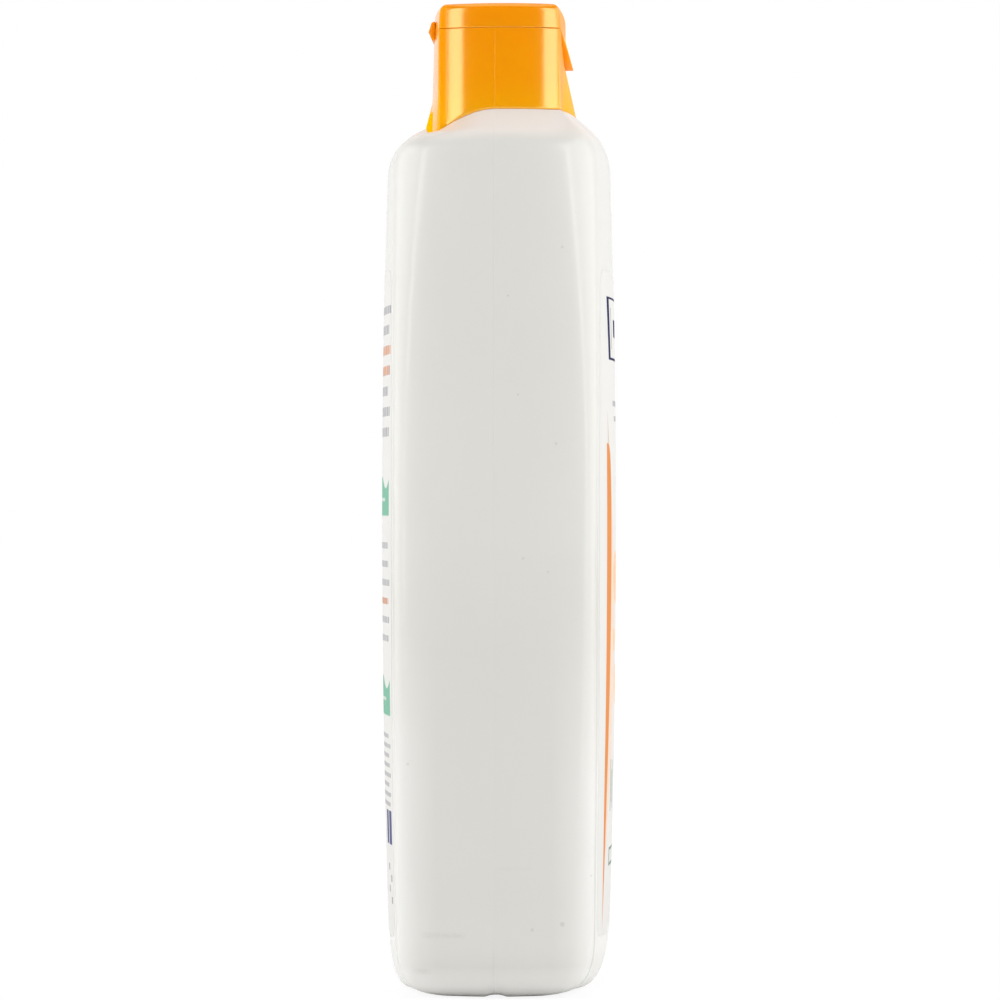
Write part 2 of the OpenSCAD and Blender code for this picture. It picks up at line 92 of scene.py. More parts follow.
# Sizes, as in the part's source
BODY_W = 74.84
FRONT_D, BACK_D = 27.95, 28.2
BULGE_Z, BULGE_SPAN, DRAW_IN = 112.0, 90.0, 1.35
WALL_TOP, SHOULDER_RISE = 202.6, 7.0
WALL, FLOOR_T = 0.9, 1.5
SIDE_R, SIDE_R_TOP, SIDE_R_LOW, SIDE_MID = 85.0, 62.0, 72.0, 1.5
FRONT_R, BACK_R = 135.0, 130.0
CORNER_TOP, CORNER_MID, CORNER_LOW = 12.0, 4.0, 9.0
EDGE_SIDE, EDGE_FRONT, EDGE_BACK = 3.5, 6.0, 8.5
FRONT_PAD, FRONT_PAD_TOP = 0.45, 150.0
BACK_PAD, BACK_PAD_TOP = 0.25, 196.0
PAD_FADE, PAD_EDGE = 60.0, 0.35
HEEL_H, HEEL_SIDE, HEEL_FRONT, HEEL_BACK = 14.0, 12.0, 6.4, 3.7
HEEL_CORNER, HEEL_CORNER_SPAN = 9.0, 30.0
PUSH_UP, FOOT_SHARE, GROOVE_D, GROOVE_W = 4.0, 0.1, 0.6, 5.0
NECK_R, NECK_WALL, NECK_ROOT, BEAD, BEAD_Z = 11.5, 1.3, 2.0, 0.6, 9.5
LABEL_Z, LABEL_H, LABEL_R, LABEL_TOP, LABEL_MARGIN = 14.0, 158.0, 4.0, 0.14, 1.2
LABEL_GAP, LABEL_RIM, LABEL_RIM_W = 0.005, 0.02, 0.7
FILL_Z, GEL_GAP = 192.0, 0.3
CAP_W, CAP_FRONT, CAP_BACK = 58.0, 15.8, 15.5
CORNER_FRONT, CORNER_BACK, CAP_SIDE_R, CAP_CORNER_R, CAP_DRAFT = 15.2, 13.3, 34.6, 0.9, 0.6
BASE_H, CAP_WALL, DECK_T = 19.3, 1.3, 1.5
FRONT_FLARE_H, FRONT_FLARE, BACK_FLARE_H, BACK_FLARE, FACE_DRAFT = 12.4, 0.222, 3.7, 0.25, 0.03
SEAM_DIP, SEAM_DIP_MID, DIP_SOFT, DIP_MID_W = 0.8, 0.3, 12.0, 20.0
SEAM_GAP, RIM_GAP, SOCKET_GAP, SOCKET_WALL = 0.03, 0.3, 0.2, 1.1
SPOUT_Y, SPOUT_BORE_R, SPOUT_H, SPOUT_R = 3.0, 2.5, 2.9, 4.3
LID_H, LID_WALL, LID_GAP, LID_EDGE_R, LID_DOME = 6.1, 1.2, 0.06, 1.6, 0.2
TAB_W, TAB_DROP, TAB_SLOPE, TAB_RECESS, TAB_GAP = 48.0, 7.2, 0.27, 0.6, 0.2
PLUG_GAP, PLUG_DEPTH = 0.3, 1.2
HINGE_W, HINGE_OUT, HINGE_Z, LEAF_H, LEAF_LOW = 28.0, 1.2, 0.5, 2.6, 1.9

SEAM_Z = WALL_TOP + SHOULDER_RISE
DECK_Z = SEAM_Z + BASE_H
LID_TOP = DECK_Z + LID_H
RIM_Z = DECK_Z - DECK_T - RIM_GAP
NECK_BORE_R = NECK_R - NECK_WALL
HINGE_Y = CAP_BACK + HINGE_OUT
HINGE_LINE = DECK_Z + HINGE_Z
CORNER_X = 0.45 * CAP_W

# Outlines
# One quarter of an outline runs along the narrow side, round the corner, over the short slope
# of the raised panel and along the broad face.
SIDE, CORNER, STEP, FACE = range(4)
SIDE_T = np.concatenate([[0, .003, .006, .009, .013, .018, .026, .04, .065], np.linspace(.1, 1, 17)])
CORNER_T = np.linspace(0, 1, 13)[1:]
STEP_T = np.linspace(0, 1, 6)[1:]
FACE_T = np.linspace(0, 1, 27)[1:]


def quarters():
    """Part, step and signs of x and y for each column of an outline, counter-clockwise."""
    part = np.repeat([SIDE, CORNER, STEP, FACE], [len(SIDE_T), len(CORNER_T), len(STEP_T), len(FACE_T)])
    t = np.concatenate([SIDE_T, CORNER_T, STEP_T, FACE_T])
    n = len(t) - 1
    order = np.concatenate([np.arange(n + 1), np.arange(n - 1, -1, -1),
                            np.arange(1, n + 1), np.arange(n - 1, 0, -1)])
    sx = np.repeat([1.0, -1.0, -1.0, 1.0], [n + 1, n, n, n - 1])
    sy = np.repeat([1.0, 1.0, -1.0, -1.0], [n + 1, n, n, n - 1])
    return part[order], t[order], sx, sy


PART, T, SX, SY = quarters()
BACK = SY > 0


def mix(a, b, t):
    return a + (b - a) * t


def ease(v):
    t = np.clip(v, 0, 1)
    return t * t * (3 - 2 * t)


def corner_centre(a, b, side_r, face_r, corner_r, side_y):
    """Centre of the corner arc that touches the arcs of the narrow side and of the broad face."""
    c1x, c1y, c2y = a - side_r, side_y, b - face_r
    dx, dy = -c1x, c2y - c1y
    d = np.hypot(dx, dy)
    ux, uy = dx / d, dy / d
    along = ((side_r - corner_r) ** 2 - (face_r - corner_r) ** 2 + d * d) / (2 * d)
    across = np.sqrt((side_r - corner_r) ** 2 - along ** 2)
    return c1x + along * ux - across * uy, c1y + along * uy + across * ux


def outline(a, b, side_r, face_r, corner_r, side_y, raised):
    """Arcs of the narrow side, the corner and the broad face that meet in tangents."""
    c1x, c1y, c2y = a - side_r, side_y, b - face_r
    px, py = corner_centre(a, b, side_r, face_r, corner_r, side_y)
    a0 = np.arcsin(-side_y / side_r)
    a1 = np.arctan2(py - c1y, px - c1x)
    a2 = np.arctan2(py - c2y, px)
    edge = PAD_EDGE / face_r
    on = [PART == SIDE, PART == CORNER, PART == STEP]
    angle = np.select(on, [mix(a0, a1, T), mix(a1, a2, T), a2 + edge * T], mix(a2 + edge, pi / 2, T))
    cx = np.select(on[:2], [c1x, px], 0)
    cy = np.select(on[:2], [c1y, py], c2y)
    r = np.select(on[:2], [side_r, corner_r], face_r)
    lift = np.select([PART < STEP, PART == STEP], [0, raised * ease(T)], raised)
    return SX * (cx + r * np.cos(angle)), SY * (cy + r * np.sin(angle) + lift)


def ring(x, y, z):
    return np.stack([x, y, z + np.zeros_like(x)], -1)


# Body
def bulge(z):
    return DRAW_IN * ((z - BULGE_Z) / BULGE_SPAN) ** 2


def by_height(z, mid, top, low):
    up = mix(mid, top, ((z - BULGE_Z) / (WALL_TOP - BULGE_Z)) ** 2)
    down = mix(mid, low, ((BULGE_Z - z) / BULGE_Z) ** 2)
    return np.where(z > BULGE_Z, up, down)


def pad(z, back):
    fade = np.where(back, BACK_PAD * ease((BACK_PAD_TOP - z) / PAD_FADE),
                    FRONT_PAD * ease((FRONT_PAD_TOP - z) / PAD_FADE))
    return ease(z / 3) * fade


def face_d(z, back):
    return np.where(back, BACK_D, FRONT_D) - bulge(z) - pad(z, back)


def body_ring(z, inset=0.0):
    z = np.asarray(z, float)
    x, y = outline(BODY_W / 2 - bulge(z) - inset, face_d(z, BACK) - inset,
                   by_height(z, SIDE_R, SIDE_R_TOP, SIDE_R_LOW) - inset,
                   np.where(BACK, BACK_R, FRONT_R) - inset,
                   by_height(z, CORNER_MID, CORNER_TOP, CORNER_LOW) - inset,
                   SY * SIDE_MID, pad(z, BACK) if inset == 0 else 0)
    return ring(x, y, z)


def groove(y):
    return GROOVE_D * np.maximum(0, 1 - (2 * y / GROOVE_W) ** 2)


def heel_ring(phi, inset=0.0, lift=0.0):
    z = lift + (HEEL_H - lift) * (1 - cos(radians(phi)))
    k = 1 - sin(radians(phi))
    p = body_ring(z, inset)
    x = p[:, 0] * (1 - k * HEEL_SIDE / (BODY_W / 2))
    y = p[:, 1] * (1 - k * np.where(BACK, HEEL_BACK / BACK_D, HEEL_FRONT / FRONT_D)
                   - k * k * HEEL_CORNER / BACK_D * ease(np.abs(p[:, 0]) / HEEL_CORNER_SPAN))
    return ring(x, y, z + k * groove(y))


def base_ring(share, rise, inset=0.0, lift=0.0):
    p = heel_ring(0, inset, lift)
    y = p[:, 1] * share
    return ring(p[:, 0] * share, y, lift + rise + groove(y))


# Cap outline and seam
def cap_face(z):
    back = CAP_BACK + FACE_DRAFT * (LID_TOP - z) + BACK_FLARE * np.maximum(0, SEAM_Z + BACK_FLARE_H - z)
    front = CAP_FRONT + FRONT_FLARE * np.maximum(0, SEAM_Z + FRONT_FLARE_H - z)
    return np.where(BACK, back, front)


def cap_ring(z, inset=0.0, push=0.0):
    z = np.asarray(z, float)
    b = cap_face(z)
    on_lid = np.clip((z - DECK_Z) / LID_H, 0, 1)
    corner_y = np.where(BACK, CORNER_BACK, CORNER_FRONT) - 0.5 * on_lid
    rise = b - corner_y
    face_r = (CORNER_X ** 2 + rise ** 2) / (2 * rise)
    corner_r = np.maximum(CAP_CORNER_R + 0.8 * on_lid - inset, 0.3)
    half = CAP_W / 2 - CAP_DRAFT * (z - SEAM_Z) / (LID_TOP - SEAM_Z) - inset
    x, y = outline(half, b - inset, CAP_SIDE_R - inset, face_r - inset, corner_r,
                   SY * (CORNER_BACK - CORNER_FRONT) / 2, 0)
    return ring(x, y + push, z)


def dip(x, y):
    middle = mix(SEAM_DIP_MID, 1, np.minimum(1, (x / DIP_MID_W) ** 2))
    return np.where(y <= 0, 0, SEAM_DIP * (np.hypot(DIP_SOFT, y) - DIP_SOFT) * middle)


SEAM = cap_ring(SEAM_Z)
SEAM_HEIGHT = SEAM_Z - dip(SEAM[:, 0], SEAM[:, 1])


def seam_ring(inset, rise):
    p = cap_ring(SEAM_HEIGHT, inset)
    return ring(p[:, 0], p[:, 1], SEAM_HEIGHT + rise)


def edge_r():
    p = body_ring(WALL_TOP)
    q = (p[:, 1] / face_d(WALL_TOP, BACK)) ** 2
    return mix(EDGE_SIDE, np.where(BACK, EDGE_BACK, EDGE_FRONT), q * q)


EDGE_R = edge_r()


def edge_ring(t, inset=0.0, drop=0.0):
    w = body_ring(WALL_TOP - EDGE_R, inset)
    a = body_ring(WALL_TOP - drop, inset)
    b = seam_ring(inset, -drop)
    share = np.minimum(0.9, EDGE_R / np.linalg.norm(b - a, axis=1))[:, None]
    s = mix(a, b, share)
    return (1 - t) ** 2 * w + 2 * t * (1 - t) * a + t * t * s


def slope_ring(t, inset=0.0, drop=0.0):
    return mix(edge_ring(1, inset, drop), seam_ring(inset, -drop), t)


def neck_ring(r, z):
    n = np.hypot(SEAM[:, 0], SEAM[:, 1])
    return ring(r * SEAM[:, 0] / n, r * SEAM[:, 1] / n, z)


# Mesh helpers
def make_object(name, points, faces, smooth_angle=35.0):
    mesh = bpy.data.meshes.new(name)
    mesh.from_pydata((np.asarray(points) * MM).tolist(), [], faces)
    mesh.validate()
    mesh.shade_smooth()
    mesh.set_sharp_from_angle(angle=radians(smooth_angle))
    mesh.update()
    obj = bpy.data.objects.new(name, mesh)
    scene.collection.objects.link(obj)
    return obj


def skin(name, first, rings, last, smooth_angle=35.0):
    """A closed skin through a list of rings, with a point at each end."""
    n, m = len(rings[0]), len(rings)
    points = np.concatenate([[first], *rings, [last]])
    faces = [(0, 1 + (i + 1) % n, 1 + i)[::-1] for i in range(n)]
    for j in range(m - 1):
        low, high = 1 + j * n, 1 + (j + 1) * n
        faces += [(low + i, low + (i + 1) % n, high + (i + 1) % n, high + i) for i in range(n)]
    top, end = 1 + (m - 1) * n, 1 + m * n
    faces += [(top + i, top + (i + 1) % n, end) for i in range(n)]
    return make_object(name, points, faces, smooth_angle)


def lathe(name, profile, centre_y=0.0, steps=96):
    """A closed ring or plug turned about an upright axis, from a closed profile of (radius, height)."""
    on_axis = [i for i, (r, _) in enumerate(profile) if r == 0]
    points, faces, rows = [], [], []
    for r, z in profile:
        if r == 0:
            rows.append([len(points)] * steps)
            points.append((0, centre_y, z))
        else:
            rows.append(list(range(len(points), len(points) + steps)))
            turns = [2 * pi * k / steps for k in range(steps)]
            points += [(r * cos(a), centre_y + r * sin(a), z) for a in turns]
    closing = len(profile) if not on_axis else len(profile) - 1
    for j in range(closing):
        a, b = rows[j], rows[(j + 1) % len(profile)]
        for k in range(steps):
            corners = (a[k], a[(k + 1) % steps], b[(k + 1) % steps], b[k])
            corners = tuple(dict.fromkeys(corners))
            if len(corners) > 2:
                faces.append(corners)
    return make_object(name, points, faces)


def boolean(obj, other, operation):
    """Joins or cuts with another mesh, which is used up."""
    step = obj.modifiers.new("step", "BOOLEAN")
    step.operation, step.object, step.solver = operation, other, "EXACT"
    bpy.context.view_layer.update()
    result = bpy.data.meshes.new_from_object(obj.evaluated_get(bpy.context.evaluated_depsgraph_get()))
    obj.modifiers.clear()
    old = obj.data
    obj.data = result
    result.name = old.name
    bpy.data.meshes.remove(old)
    bpy.data.objects.remove(other)


def finish_mesh(obj, smooth_angle=32.0):
    obj.data.shade_smooth()
    obj.data.set_sharp_from_angle(angle=radians(smooth_angle))
    obj.data.update()


# Bottle
def parting_ridge(y, z):
    """The fine ridge that the two mould halves leave along the narrow sides."""
    height = 0.034 * mix(0.35, 1, ease((z - 85) / 60))
    upper = height * np.exp(-(y / 0.13) ** 2)
    low = 0.07 * ease((16 - z) / 6)
    pair = low * (np.exp(-((y - 0.62) / 0.16) ** 2) + np.exp(-(y / 0.16) ** 2))
    return np.where(z < 16, np.maximum(upper, pair), upper)


def sway(p):
    """Slow unevenness of a blown wall, a few hundredths of a millimetre."""
    x, y, z = p[..., 0], p[..., 1], p[..., 2]
    return (0.030 * np.sin(z / 11.0 + y / 17.0 + 0.6) * np.sin(y / 13.0 - x / 29.0 + 1.1)
            + 0.022 * np.sin(z / 23.0 - x / 15.0 + 2.0) + 0.016 * np.sin(z / 7.3 + y / 6.1 + x / 21.0))


def grid_normals(rows):
    along = np.roll(rows, -1, 1) - np.roll(rows, 1, 1)
    up = np.gradient(rows, axis=0)
    n = np.cross(along, up)
    return n / np.maximum(np.linalg.norm(n, axis=2, keepdims=True), 1e-9)


def push_up_rise(share):
    s = share / (1 - FOOT_SHARE)
    return PUSH_UP * max(0.0, 1 - s ** 2.6) if s < 1 else 0.0


def wall_heights(count):
    low, high = HEEL_H, WALL_TOP - max(EDGE_SIDE, EDGE_FRONT, EDGE_BACK)
    return low + (high - low) * np.linspace(0, 1, count + 1)[1:]


def bottle_rings():
    base = [base_ring(s, push_up_rise(s)) for s in
            (.06, .14, .24, .35, .47, .58, .68, .76, .83, .875, .895, .91, .95, .98)]
    heel = [heel_ring(phi) for phi in (0, 4, 9, 15, 21, 28, 35, 42, 49, 56, 63, 70, 77, 84, 90)]
    wall = [body_ring(z) for z in wall_heights(64)]
    edge = [edge_ring(t) for t in np.linspace(0, 1, 17)[1:]]
    slope = [slope_ring(t) for t in np.linspace(0, 1, 9)[1:]]
    rows = np.array(base + heel + wall + edge + slope)
    n = grid_normals(rows)
    y, z = rows[..., 1], rows[..., 2]
    on_side = (PART == SIDE)[None, :] & (np.abs(y) < 3)
    amount = np.where(on_side, parting_ridge(y, z), 0) * ease((z + 0.2) / 1.5)
    away = ease((z - 2) / 12) * ease((206 - z) / 14)
    rows = rows + n * amount[..., None]
    bare = np.select([PART == SIDE, PART == CORNER], [1.0, 1 - ease(T)], 0.0)[None, :]
    bare = np.maximum(bare, ease((z - LABEL_Z - LABEL_H - 1) / 8))
    rows = rows + n * (sway(rows) * away * bare)[..., None]
    return list(rows)


def make_bottle():
    neck = [seam_ring(CAP_WALL + 0.6, 0), seam_ring(CAP_WALL + 1.2, 1.2)]
    neck += [neck_ring(r, z) for r, z in (
        (NECK_R + 1.5, SEAM_Z + NECK_ROOT), (NECK_R, SEAM_Z + NECK_ROOT + 1.5), (NECK_R, SEAM_Z + BEAD_Z - 1),
        (NECK_R + BEAD, SEAM_Z + BEAD_Z - 0.3), (NECK_R + BEAD, SEAM_Z + BEAD_Z + 0.3),
        (NECK_R, SEAM_Z + BEAD_Z + 1.2), (NECK_R, RIM_Z - 0.4), (NECK_R - 0.4, RIM_Z),
        (NECK_BORE_R + 0.2, RIM_Z), (NECK_BORE_R, RIM_Z - 0.2), (NECK_BORE_R, SEAM_Z + NECK_ROOT - 0.6))]
    inner = [seam_ring(CAP_WALL + 2.3, -WALL)]
    inner += [edge_ring(t, WALL, WALL) for t in (1, .75, .5, .25)]
    inner += [body_ring(z, WALL) for z in wall_heights(14)[::-1]]
    inner += [heel_ring(phi, WALL, FLOOR_T) for phi in (90, 72, 54, 36, 18, 0)]
    inner += [base_ring(s, push_up_rise(s), WALL, FLOOR_T) for s in (.9, .76, .58, .35, .14)]
    return skin("bottle_body", (0, 0, PUSH_UP + GROOVE_D), bottle_rings() + neck + inner,
                (0, 0, FLOOR_T + PUSH_UP + GROOVE_D), 40.0)


def make_gel():
    inset, lift = WALL + GEL_GAP, FLOOR_T + GEL_GAP
    rings = [base_ring(s, push_up_rise(s), inset, lift) for s in (.2, .45, .7, .9)]
    rings += [heel_ring(phi, inset, lift) for phi in (0, 18, 36, 54, 72, 90)]
    rings += [body_ring(z, inset) for z in np.linspace(HEEL_H, FILL_Z, 22)[1:-1]]
    rings += [body_ring(FILL_Z - 0.4, inset), body_ring(FILL_Z, inset + 0.1), body_ring(FILL_Z - 0.5, inset + 2.0)]
    rings += [body_ring(FILL_Z - 0.6, inset + 2.0) * (s, s, 1) for s in (.8, .4)]
    return skin("gel_fill", (0, 0, lift + PUSH_UP + GROOVE_D), rings, (0, 0, FILL_Z - 0.6), 60.0)


# Label films
def make_label(name, back):
    nx, straight = 64, 115
    sign, r = (1, BACK_R) if back else (-1, FRONT_R)
    z = np.concatenate([LABEL_Z + LABEL_R * (1 - np.cos(np.linspace(0, pi / 2, 9))),
                        np.linspace(LABEL_Z + LABEL_R, LABEL_Z + LABEL_H - LABEL_R, straight)[1:-1],
                        LABEL_Z + LABEL_H - LABEL_R * (1 - np.cos(np.linspace(pi / 2, 0, 9)))])
    nz = len(z) - 1
    e = np.maximum(0, LABEL_R - np.minimum(z - LABEL_Z, LABEL_Z + LABEL_H - z))
    px, py = corner_centre(BODY_W / 2 - bulge(z), face_d(z, back), by_height(z, SIDE_R, SIDE_R_TOP, SIDE_R_LOW), r,
                           by_height(z, CORNER_MID, CORNER_TOP, CORNER_LOW), sign * SIDE_MID)
    panel = r * np.cos(np.arctan2(py - face_d(z, back) + r, px) + PAD_EDGE / r)
    half = panel - LABEL_MARGIN - LABEL_R + np.sqrt(np.maximum(LABEL_R ** 2 - e ** 2, 0))
    x = half[:, None] * np.sin(np.linspace(-1, 1, nx + 1) * 1.35)[None, :] / sin(1.35)
    zz = np.repeat(z[:, None], nx + 1, 1)
    face = face_d(zz, back) + pad(zz, back) - r + np.sqrt(r * r - x * x)
    to_rim = np.minimum(np.minimum(half[:, None] - np.abs(x), zz - LABEL_Z), LABEL_Z + LABEL_H - zz)
    upper = LABEL_RIM + (LABEL_TOP - LABEL_RIM) * ease(to_rim / LABEL_RIM_W)
    sheets = [np.stack([x, sign * (face + lift), zz], -1).reshape(-1, 3)
              for lift in (np.full_like(x, LABEL_GAP), upper)]
    w, n = nx + 1, (nx + 1) * (nz + 1)
    faces = []
    for j in range(nz):
        for i in range(nx):
            a = j * w + i
            faces.append((a + w, a + w + 1, a + 1, a))
            faces.append((n + a, n + a + 1, n + a + w + 1, n + a + w))
    rim = ([i for i in range(nx)] + [j * w + nx for j in range(nz)] + [nz * w + i for i in range(nx, 0, -1)]
           + [j * w for j in range(nz, 0, -1)])
    faces += [(a, b, n + b, n + a) for a, b in zip(rim, rim[1:] + rim[:1])]
    if back:
        faces = [f[::-1] for f in faces]
    return make_object(name, np.concatenate(sheets), faces)


# Cap
DECK_RING = cap_ring(DECK_Z)
TAB_REACH = np.where(~BACK & (np.abs(DECK_RING[:, 0]) < TAB_W / 2),
                     TAB_DROP * np.maximum(0, 1 - (2 * DECK_RING[:, 0] / TAB_W) ** 2), 0)
ON_TAB = TAB_REACH > 0
ON_FRONT = ~BACK & (PART >= STEP)
FRONT_SHARE = np.where(ON_FRONT, np.where(PART == STEP, ease(T), 1), 0)


def witness(rows, height):
    """A fine witness line of the mould along both narrow sides of the cap."""
    n = grid_normals(rows)
    y = rows[..., 1]
    line = np.where((PART == SIDE)[None, :], height * np.exp(-(y / 0.11) ** 2), 0)
    return rows + n * line[..., None]


def make_cap_base():
    skirt_top = DECK_Z - 0.6
    tab_foot = DECK_Z - np.where(ON_TAB, TAB_REACH + 0.3, 0)
    top = np.minimum(skirt_top, tab_foot)
    low = seam_ring(0, SEAM_GAP)[:, 2]
    low_in = seam_ring(CAP_WALL, SEAM_GAP)[:, 2]
    recess = TAB_RECESS * FRONT_SHARE
    inside = [cap_ring(DECK_Z - DECK_T, CAP_WALL + 3), cap_ring(DECK_Z - DECK_T, CAP_WALL + 1),
              cap_ring(DECK_Z - DECK_T - 0.35, CAP_WALL + 0.3), cap_ring(DECK_Z - DECK_T - 1, CAP_WALL)]
    inside += [cap_ring(mix(low_in, DECK_Z - DECK_T - 1, t), CAP_WALL) for t in (.85, .65, .45, .25, .1)]
    inside += [cap_ring(low_in, CAP_WALL - 0.05), cap_ring(mix(low, low_in, .2), 0.3), cap_ring(low + 0.04, 0.1)]
    outer = [cap_ring(mix(low, top, t)) for t in
             (.012, .04, .08, .12, .17, .22, .28, .34, .4, .46, .52, .58, .64, .7, .76, .82, .88, .94, .98, 1)]
    outer = list(witness(np.array(outer), 0.035))
    ledge = [cap_ring(top + 0.03, 0.0, 0.3 * recess), cap_ring(top + 0.05, 0.0, recess)]
    upper = [cap_ring(mix(top + 0.05, DECK_Z - 0.22, t), 0.0, recess) for t in (.25, .5, .75, 1)]
    upper += [cap_ring(DECK_Z - dz, inset, recess) for dz, inset in ((.13, .015), (.06, .05), (.02, .1), (0, .19))]
    upper += [cap_ring(DECK_Z, inset, recess) for inset in (1.0, 3.0)]
    obj = skin("cap_skirt", (0, 0, DECK_Z - DECK_T), inside + outer + ledge + upper, (0, 0, DECK_Z), 30.0)
    spout = lathe("spout", [
        (0, DECK_Z - DECK_T / 2), (SPOUT_R + 0.9, DECK_Z - DECK_T / 2), (SPOUT_R + 0.9, DECK_Z - 0.02),
        (SPOUT_R + 0.45, DECK_Z + 0.06), (SPOUT_R + 0.12, DECK_Z + 0.28), (SPOUT_R, DECK_Z + 0.6),
        (SPOUT_R - 0.62, DECK_Z + SPOUT_H - 0.5), (SPOUT_R - 0.7, DECK_Z + SPOUT_H - 0.25),
        (SPOUT_R - 0.85, DECK_Z + SPOUT_H - 0.07), (SPOUT_R - 1.05, DECK_Z + SPOUT_H), (0, DECK_Z + SPOUT_H)][::-1],
        -SPOUT_Y)
    boolean(obj, spout, "UNION")
    bore = lathe("bore", [(0, DECK_Z - DECK_T - 1), (SPOUT_BORE_R, DECK_Z - DECK_T - 1),
                          (SPOUT_BORE_R, DECK_Z + SPOUT_H - 0.3),
                          (SPOUT_BORE_R + 0.35, DECK_Z + SPOUT_H + 0.06),
                          (SPOUT_BORE_R + 0.35, DECK_Z + SPOUT_H + 1),
                          (0, DECK_Z + SPOUT_H + 1)][::-1], -SPOUT_Y)
    boolean(obj, bore, "DIFFERENCE")
    r = NECK_R + SOCKET_GAP
    snap = SEAM_Z + BEAD_Z
    collar = lathe("collar", [
        (r + BEAD, SEAM_Z + NECK_ROOT + 2.5), (r + BEAD + SOCKET_WALL, SEAM_Z + NECK_ROOT + 2.5),
        (r + BEAD + SOCKET_WALL, DECK_Z - DECK_T / 2), (r, DECK_Z - DECK_T / 2), (r, snap + 1.4),
        (r + BEAD, snap + 0.5), (r + BEAD, snap - 0.5), (r + BEAD / 2, snap - 1.4)][::-1])
    boolean(obj, collar, "UNION")
    seal_r = NECK_BORE_R - SOCKET_GAP
    tube = lathe("tube", [(seal_r - 1, RIM_Z - 3), (seal_r - 0.3, RIM_Z - 3), (seal_r, RIM_Z - 2.4),
                          (seal_r, DECK_Z - DECK_T / 2), (seal_r - 1, DECK_Z - DECK_T / 2)][::-1])
    boolean(obj, tube, "UNION")
    finish_mesh(obj)
    return obj


def make_lid():
    low = DECK_Z + LID_GAP
    ceiling = LID_TOP - LID_DOME - LID_WALL
    lip = TAB_RECESS - TAB_GAP
    edge_z = low - np.where(ON_TAB, TAB_REACH + LID_GAP, 0)
    on = ON_TAB.astype(float)

    def outer_ring(z, inset=0.0):
        z = z + np.zeros_like(on)
        return cap_ring(z, inset, -TAB_SLOPE * on * np.maximum(0, DECK_Z - z))

    def lip_ring(z):
        return cap_ring(z, lip * (1 - on), lip * on)

    rings = [cap_ring(ceiling, LID_WALL + 3), cap_ring(ceiling, LID_WALL + 0.6),
             cap_ring(ceiling - 0.25, LID_WALL + 0.15), cap_ring(ceiling - 0.6, LID_WALL),
             cap_ring(mix(ceiling, low, .5), LID_WALL), cap_ring(low + 0.15, LID_WALL),
             lip_ring(low + 0.15), lip_ring(mix(low + 0.15, edge_z, .5)), lip_ring(edge_z)]
    body = [outer_ring(edge_z, 0.13), outer_ring(edge_z + 0.04, 0.04), outer_ring(edge_z + 0.13)]
    body += [outer_ring(mix(edge_z + 0.13, low + 0.6, t)) for t in (.2, .4, .6, .8, 1)]
    body += [outer_ring(mix(low + 0.6, LID_TOP - LID_DOME - LID_EDGE_R, t)) for t in (.25, .5, .75)]
    crown = [cap_ring(LID_TOP - LID_DOME - LID_EDGE_R * (1 - sin(radians(phi))),
                      LID_EDGE_R * (1 - cos(radians(phi)))) for phi in range(0, 91, 10)]
    top = cap_ring(LID_TOP, LID_EDGE_R)
    dome = [ring(top[:, 0] * s, top[:, 1] * s, LID_TOP - LID_DOME * s * s) for s in
            (.97, .9, .8, .68, .54, .4, .25, .1)]
    obj = skin("lid_shell", (0, 0, ceiling), rings + body + crown + dome, (0, 0, LID_TOP), 30.0)
    plug_r, ring_r = SPOUT_BORE_R - PLUG_GAP, SPOUT_R + 0.5
    tip = DECK_Z + SPOUT_H - PLUG_DEPTH
    plug = lathe("plug", [(0, tip), (plug_r - 0.6, tip), (plug_r - 0.25, tip + 0.1), (plug_r, tip + 0.5),
                          (plug_r, ceiling + 0.4), (0, ceiling + 0.4)][::-1], -SPOUT_Y)
    boolean(obj, plug, "UNION")
    rim = DECK_Z + SPOUT_H - 0.6
    collar = lathe("rim", [(ring_r, rim + 0.1), (ring_r + 0.1, rim), (ring_r + 0.7, rim), (ring_r + 0.8, rim + 0.1),
                           (ring_r + 0.8, ceiling + 0.4), (ring_r, ceiling + 0.4)][::-1], -SPOUT_Y)
    boolean(obj, collar, "UNION")
    finish_mesh(obj)
    return obj


